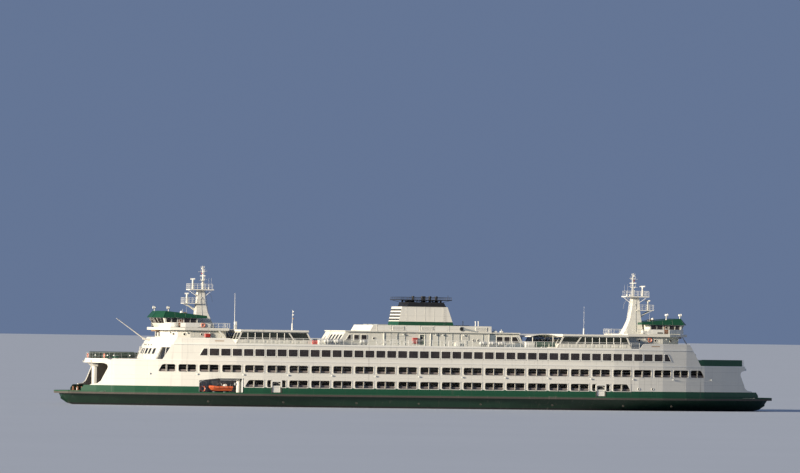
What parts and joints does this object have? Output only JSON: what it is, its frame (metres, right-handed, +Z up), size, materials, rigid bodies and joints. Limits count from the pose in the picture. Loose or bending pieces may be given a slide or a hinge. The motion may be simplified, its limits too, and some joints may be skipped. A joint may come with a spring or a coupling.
{
  "type": "double-ended car ferry, 1:10 scale model",
  "caption": "Double-ended passenger and car ferry, scale model: through vehicle decks, glazed cabin, funnel, and a pilothouse, mast, rudder and propeller at each end.",
  "frame": {"origin": "midships on the centre line at the waterline", "axes": "+X along the ship towards end b, +Y to port, +Z up"},
  "size_m": [14.0218, 2.74, 3.106],
  "materials": {
    "white": "cream-white marine paint, satin",
    "green": "mid-green marine paint, satin",
    "hull_green": "dark green hull paint, weathered",
    "bottom_red": "red antifouling below the water",
    "guard": "worn brown-grey guard rail",
    "deck": "brownish deck coating",
    "deck_green": "green-grey deck coating on the upper decks",
    "black": "matt black",
    "bronze": "cast bronze",
    "orange": "orange rescue-boat paint",
    "red": "red paint",
    "wood": "varnished brown-orange door",
    "steel": "bare and galvanised steel",
    "glass": "dark green tinted glass",
    "rope": "weathered rope and webbing"
  },
  "bodies": {
    "ship": {"hull": "hull_green", "guard_rail": "guard", "vehicle_deck": "deck", "mezzanine_starboard": "deck", "mezzanine_port": "deck", "passenger_deck": "deck", "bulwark_starboard": "green", "bulwark_port": "green", "end_bulwark_a": "green", "end_bulwark_b": "green", "pilothouse_roof_a": "green", "pilothouse_roof_b": "green", "shell_starboard": "white", "shell_port": "white", "casing": "white", "end_arch_a": "white", "end_arch_b": "white", "cabin_side_starboard": "white", "cabin_side_port": "white", "cabin_front_a": "white", "cabin_front_b": "white", "sun_deck": "white", "deckhouse": "white", "deckhouse_roof": "white", "funnel": "white", "shelter_a": "white", "shelter_b": "white", "canopy": "white", "bridge_house_a": "white", "bridge_house_b": "white", "bridge_deck_a": "white", "bridge_deck_b": "white", "pilothouse_a": "white", "pilothouse_b": "white", "mast_a": "white", "mast_b": "white", "funnel_cap": "black"},
    "propeller_a": {"propeller_a": "bronze"},
    "propeller_b": {"propeller_b": "bronze"},
    "rudder_a": {"rudder_a": "bottom_red"},
    "rudder_b": {"rudder_b": "bottom_red"},
    "radar_upper_a": {"radar_upper_a": "white"},
    "radar_upper_b": {"radar_upper_b": "white"},
    "radar_lower_a": {"radar_lower_a": "white"},
    "radar_lower_b": {"radar_lower_b": "white"},
    "davit_a": {"davit_a": "white", "rescue_boat_a": "orange"},
    "davit_b": {"davit_b": "white", "rescue_boat_b": "orange"},
    "jackstaff_a": {"jackstaff_a": "white"},
    "jackstaff_b": {"jackstaff_b": "white"},
    "gate_starboard_a": {"gate_starboard_a": "white"},
    "gate_starboard_b": {"gate_starboard_b": "white"},
    "gate_port_a": {"gate_port_a": "white"},
    "gate_port_b": {"gate_port_b": "white"},
    "door_starboard_a": {"door_starboard_a": "wood"},
    "door_starboard_b": {"door_starboard_b": "wood"},
    "door_port_a": {"door_port_a": "wood"},
    "door_port_b": {"door_port_b": "wood"}
  },
  "joints": [
    {"name": "propeller_a_spin", "type": "hinge", "parent": "ship", "child": "propeller_a", "pos_m": [-5.91, 0, -0.32], "axis": [-1, 0, 0], "continuous": true},
    {"name": "propeller_b_spin", "type": "hinge", "parent": "ship", "child": "propeller_b", "pos_m": [5.91, 0, -0.32], "axis": [1, 0, 0], "continuous": true},
    {"name": "rudder_a_turn", "type": "hinge", "parent": "ship", "child": "rudder_a", "pos_m": [-6.2, 0, -0.3], "axis": [0, 0, 1], "range_deg": [-35, 35]},
    {"name": "rudder_b_turn", "type": "hinge", "parent": "ship", "child": "rudder_b", "pos_m": [6.2, 0, -0.3], "axis": [0, 0, 1], "range_deg": [-35, 35]},
    {"name": "radar_upper_a_spin", "type": "hinge", "parent": "ship", "child": "radar_upper_a", "pos_m": [-4.4, 0, 2.32], "axis": [0, 0, 1], "continuous": true},
    {"name": "radar_lower_a_spin", "type": "hinge", "parent": "ship", "child": "radar_lower_a", "pos_m": [-4.51, 0, 2.05], "axis": [0, 0, 1], "continuous": true},
    {"name": "radar_upper_b_spin", "type": "hinge", "parent": "ship", "child": "radar_upper_b", "pos_m": [4.4, 0, 2.32], "axis": [0, 0, 1], "continuous": true},
    {"name": "radar_lower_b_spin", "type": "hinge", "parent": "ship", "child": "radar_lower_b", "pos_m": [4.51, 0, 2.05], "axis": [0, 0, 1], "continuous": true},
    {"name": "davit_a_slew", "type": "hinge", "parent": "ship", "child": "davit_a", "pos_m": [-3.825, -1.17, 0.3], "axis": [0, 0, 1], "range_deg": [0, 90]},
    {"name": "davit_b_slew", "type": "hinge", "parent": "ship", "child": "davit_b", "pos_m": [3.825, 1.17, 0.3], "axis": [0, 0, 1], "range_deg": [0, 90]},
    {"name": "jackstaff_a_raise", "type": "hinge", "parent": "ship", "child": "jackstaff_a", "pos_m": [-5.32, 0, 1.22], "axis": [0, 1, 0], "range_deg": [0, 53]},
    {"name": "jackstaff_b_lower", "type": "hinge", "parent": "ship", "child": "jackstaff_b", "pos_m": [5.32, 0, 1.22], "axis": [0, 1, 0], "range_deg": [0, 91]},
    {"name": "gate_starboard_b_swing", "type": "hinge", "parent": "ship", "child": "gate_starboard_b", "pos_m": [3.0655, -1.3137, 0.32], "axis": [0, 0, 1], "range_deg": [0, 90]},
    {"name": "gate_starboard_a_swing", "type": "hinge", "parent": "ship", "child": "gate_starboard_a", "pos_m": [-3.2195, -1.3137, 0.32], "axis": [0, 0, 1], "range_deg": [0, 90]},
    {"name": "gate_port_a_swing", "type": "hinge", "parent": "ship", "child": "gate_port_a", "pos_m": [-3.0655, 1.3137, 0.32], "axis": [0, 0, 1], "range_deg": [0, 90]},
    {"name": "gate_port_b_swing", "type": "hinge", "parent": "ship", "child": "gate_port_b", "pos_m": [3.2195, 1.3137, 0.32], "axis": [0, 0, 1], "range_deg": [0, 90]},
    {"name": "door_starboard_b_swing", "type": "hinge", "parent": "ship", "child": "door_starboard_b", "pos_m": [4.69, -0.42, 1.52], "axis": [0, 0, -1], "range_deg": [0, 95]},
    {"name": "door_port_b_swing", "type": "hinge", "parent": "ship", "child": "door_port_b", "pos_m": [4.69, 0.42, 1.52], "axis": [0, 0, 1], "range_deg": [0, 95]},
    {"name": "door_port_a_swing", "type": "hinge", "parent": "ship", "child": "door_port_a", "pos_m": [-4.69, 0.42, 1.52], "axis": [0, 0, -1], "range_deg": [0, 95]},
    {"name": "door_starboard_a_swing", "type": "hinge", "parent": "ship", "child": "door_starboard_a", "pos_m": [-4.69, -0.42, 1.52], "axis": [0, 0, 1], "range_deg": [0, 95]}
  ]
}
